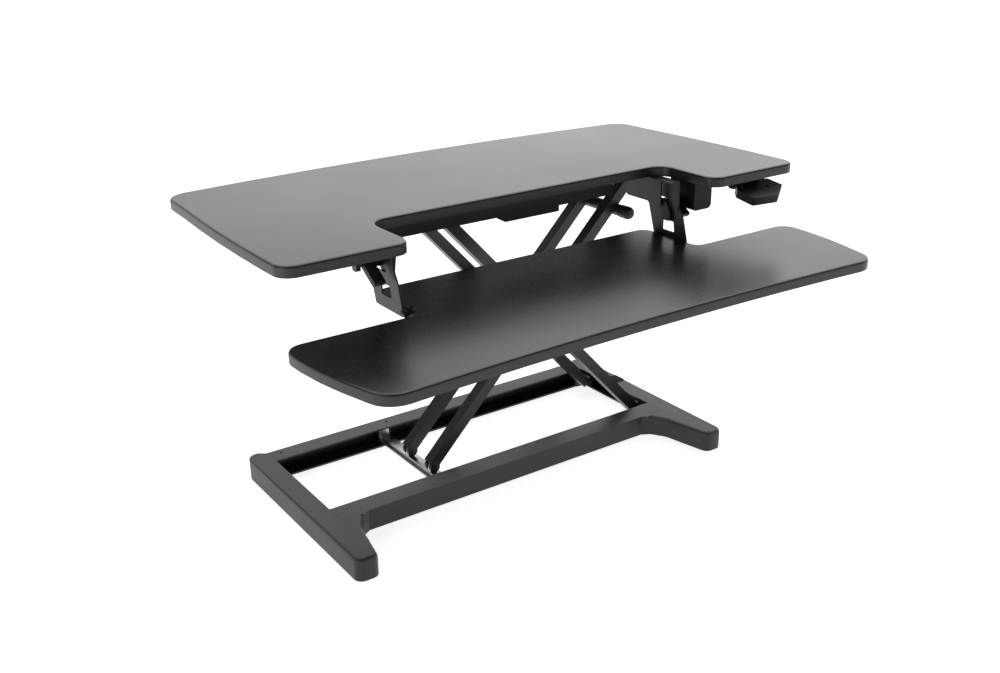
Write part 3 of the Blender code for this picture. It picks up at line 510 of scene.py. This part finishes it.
# --- pieces -------------------------------------------------------------------------------
def dress_cad():
    """Give every CAD piece its finish, and rounded edges where its edges are seen."""
    finishes = {"board_laminate": laminate(), "powder_coat": powder_coat(),
                "black_plastic": moulded_plastic(), "black_rubber": rubber(),
                "bare_steel": zinc(), "black_lacquer": lacquer()}
    widths = {"desktop": BOARD_EDGE, "keyboard_tray": BOARD_EDGE,
              "lock_box": BOX_EDGE, "release_lever": MOULDED_EDGE,
              "tray_latch_left": SHEET_EDGE, "tray_latch_right": SHEET_EDGE,
              "base_side_left": CASTING_EDGE, "base_side_right": CASTING_EDGE,
              "lower_slider_bar": SLIDER_EDGE}
    for node in frame["nodes"]:
        if node.startswith(("arm_inner_front", "arm_inner_rear", "arm_outer_front",
                            "arm_outer_rear")):
            widths[node] = TUBE_EDGE
        elif node.startswith(("base_rail", "top_rail", "top_cross_bar")):
            widths[node] = RAIL_EDGE
        elif node.startswith(("tray_hanger", "top_pivot_bracket", "base_pivot_bracket",
                              "cable_guide", "tray_side_plate", "lever_housing")):
            widths[node] = SHEET_EDGE
    seam = -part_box("base_side_left")[1].x
    for node, piece in frame["nodes"].items():
        finish = finishes[SLOT_OF[node]]
        if node in widths:
            rounded(node, widths[node], finish, seam if node.startswith("base_") else None)
        else:
            piece.data.materials.clear()
            piece.data.materials.append(finish)
    rod = frame["nodes"]["gas_rod"]
    rod.data.materials.clear()
    rod.data.materials.append(polished_rod())
    return finishes


def dress_rollers(finish):
    """Turned rollers with a hub, a web and a crowned tread in place of the plain CAD discs."""
    for node in [name for name in frame["nodes"] if "roller" in name]:
        low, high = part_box(node)
        centre = (low + high) / 2
        radius = (high.z - low.z) / 2
        half = (high.y - low.y) / 2
        hub = ROLLER_BORE + ROLLER_HUB
        web = hub + ROLLER_CROWN
        rim = radius - ROLLER_RIM
        groove = rim - ROLLER_GROOVE
        deep = half - ROLLER_STEP
        side = ((ROLLER_BORE, half), (hub, half), (web, deep), (groove, deep), (rim, half),
                (radius - ROLLER_CROWN, half), (radius, deep))
        profile = [(reach, -height) for reach, height in side] + list(reversed(side))
        bm = bmesh.new()
        pose = facing(centre, (0, 1, 0))
        rings = [level_ring(bm, pose, 40, reach, height) for reach, height in profile]
        skin(bm, rings + rings[:1])
        wheel = add_piece(f"{node}_turned", bm, finish, BODY_OF[node])
        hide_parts(node)


def add_welds(finish):
    """Weld beads where the round cross tubes meet the rectangular tubes."""
    for node in ("arm_inner_cross_tube", "arm_outer_cross_tube"):
        low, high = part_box(node)
        centre = (low + high) / 2
        bm = bmesh.new()
        for y in (low.y + 0.0004, high.y - 0.0004):
            weld_ring(bm, (centre.x, y, centre.z), (0, 1, 0), (high.z - low.z) / 2 + 0.0002)
        weld = add_piece(f"{node}_welds", bm, finish, BODY_OF[node], 60)


def add_screws(finish):
    """Screws that hold the top frame, the hangers, the lock box and the lever's bracket."""
    down = (0, 0, -1)
    hanger_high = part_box("tray_hanger_right")[1]
    foot_z = hanger_high.z - 0.0022
    for side, hand in (("left", -1), ("right", 1)):
        places = [(hand * (hanger_high.x - 0.0118), 0.0065, foot_z)]
        screws(f"hanger_screw_{side}", "top", places, down, finish)
    for node in ("top_cross_bar_left", "top_cross_bar_right"):
        low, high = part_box(node)
        x = (low.x + high.x) / 2
        places = [(x, low.y + BAR_SCREW_INSET, low.z), (x, high.y - BAR_SCREW_INSET, low.z)]
        screws(f"{node}_screws", "top", places, down, finish)
    for node in ("top_rail_front", "top_rail_rear"):
        low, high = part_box(node)
        y = (low.y + high.y) / 2
        start = low.x + RAIL_SCREW_INSET
        pitch = (high.x - low.x - 2 * RAIL_SCREW_INSET) / (RAIL_SCREWS - 1)
        places = [(start + step * pitch, y, low.z) for step in range(RAIL_SCREWS)]
        screws(f"{node}_screws", "top", places, down, finish)
    low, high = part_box("lock_box")
    places = [(low.x + 0.010, low.y + 0.012, low.z), (high.x - 0.014, high.y - 0.012, low.z)]
    screws("lock_box_screws", "top", places, down, finish, 0.8)
    low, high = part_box("lever_housing")
    y = high.y - 0.009
    places = [(low.x + 0.014, y, high.z - 0.0025), (high.x - 0.014, y, high.z - 0.0025)]
    screws("lever_housing_screws", "top", places, down, finish, 0.8)


def add_gas_spring_fittings(finish, rubber_finish):
    """The crimped collar and the wiper at the mouth of the gas spring."""
    low_stud = middle("gas_stud")
    joint = next(j for j in frame["joints"] if j["name"] == "gas_rod_slide")
    axis = Vector(joint["axis"])
    foot = Vector((low_stud.x, middle("gas_cylinder").y, low_stud.z))
    cylinder = frame["nodes"]["gas_cylinder"]
    mouth = max((cylinder.matrix_world @ v.co - foot).dot(axis) for v in cylinder.data.vertices)
    collar = ((0.0046, mouth - 0.0080, False), (0.0096, mouth - 0.0080, False),
              (0.0098, mouth - 0.0072, False), (0.0098, mouth - 0.0038, False),
              (0.0092, mouth - 0.0026, False), (0.0046, mouth - 0.0026, False))
    bm = bmesh.new()
    lathe(bm, collar, facing(foot, axis))
    add_piece("gas_collar", bm, finish, "gas_tube")
    wiper = ((0.0044, mouth - 0.0004, False), (0.0064, mouth - 0.0004, False),
             (0.0062, mouth + 0.0012, False), (0.0050, mouth + 0.0020, False),
             (0.0044, mouth + 0.0020, False))
    bm = bmesh.new()
    lathe(bm, wiper, facing(foot, axis))
    add_piece("gas_wiper", bm, rubber_finish, "gas_tube")


def make_floor():
    """A plain pale floor that reaches past the camera's view."""
    material, _, shader, _ = blank("floor")
    shader.inputs["Base Color"].default_value = (0.85, 0.85, 0.85, 1.0)
    shader.inputs["Roughness"].default_value = 0.9
    shader.inputs["Specular IOR Level"].default_value = 0.1
    shader.inputs["Emission Color"].default_value = (1.0, 1.0, 1.0, 1.0)
    shader.inputs["Emission Strength"].default_value = FLOOR_GLOW
    bm = bmesh.new()
    bmesh.ops.create_circle(bm, cap_ends=True, segments=64, radius=FLOOR_RADIUS)
    mesh = bpy.data.meshes.new("floor")
    bm.to_mesh(mesh)
    bm.free()
    mesh.materials.append(material)
    floor = bpy.data.objects.new("floor", mesh)
    bpy.context.scene.collection.objects.link(floor)


make_camera()
make_light()
FINISHES = dress_cad()
OXIDE = black_oxide()
dress_rollers(FINISHES["black_plastic"])
add_welds(FINISHES["powder_coat"])
add_screws(OXIDE)
add_gas_spring_fittings(FINISHES["black_lacquer"], FINISHES["black_rubber"])
make_floor()
